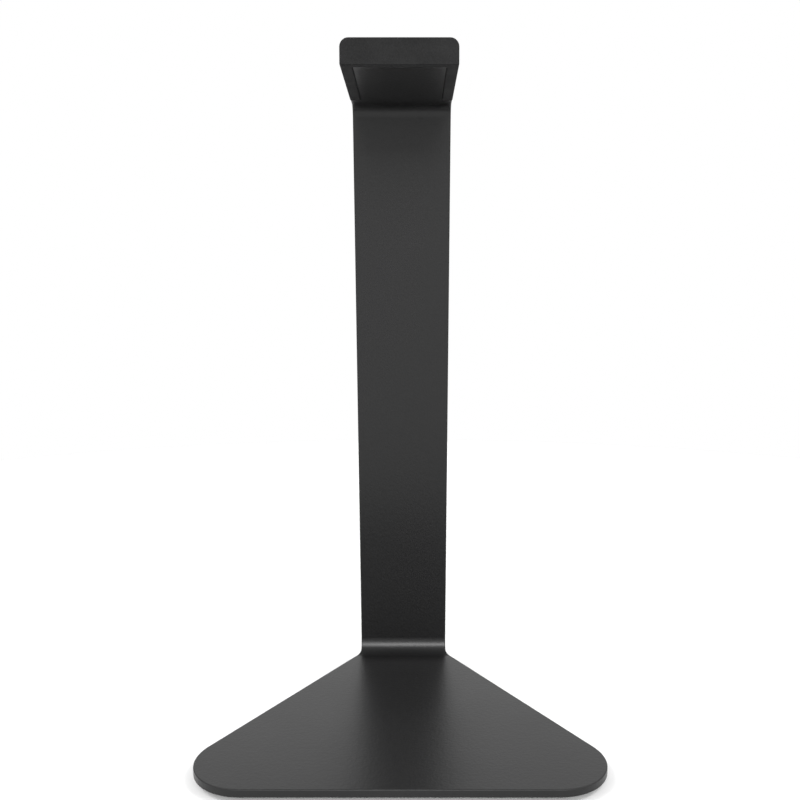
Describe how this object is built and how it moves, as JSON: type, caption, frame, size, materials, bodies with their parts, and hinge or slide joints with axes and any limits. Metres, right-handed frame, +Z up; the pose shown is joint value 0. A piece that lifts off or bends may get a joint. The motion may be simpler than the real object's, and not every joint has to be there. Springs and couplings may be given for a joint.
{
  "type": "headphone stand",
  "caption": "Free-standing headphone stand: a bent steel plate with trapezoid base, leaning stem and short arm, and a soft cradle sleeve with a raised front lip.",
  "frame": {"origin": "centre of the stand's footprint, on the surface that it stands on", "axes": "+Z up; the front lip and the wide end of the base face -Y; +X to the right as seen from the front"},
  "size_m": [0.15, 0.125, 0.258],
  "materials": {
    "powder_coated_steel": "satin black powder coat",
    "silicone_rubber": "matte black moulded silicone",
    "foot_rubber": "matte black rubber",
    "adhesive_film": "clear double-sided adhesive film"
  },
  "bodies": {
    "root": {"stand_frame": "powder_coated_steel", "cradle_sleeve": "silicone_rubber", "foot_front_left": "foot_rubber", "foot_front_right": "foot_rubber", "foot_rear_left": "foot_rubber", "foot_rear_right": "foot_rubber", "foot_tape_front_left": "adhesive_film", "foot_tape_front_right": "adhesive_film", "foot_tape_rear_left": "adhesive_film", "foot_tape_rear_right": "adhesive_film"}
  },
  "joints": []
}
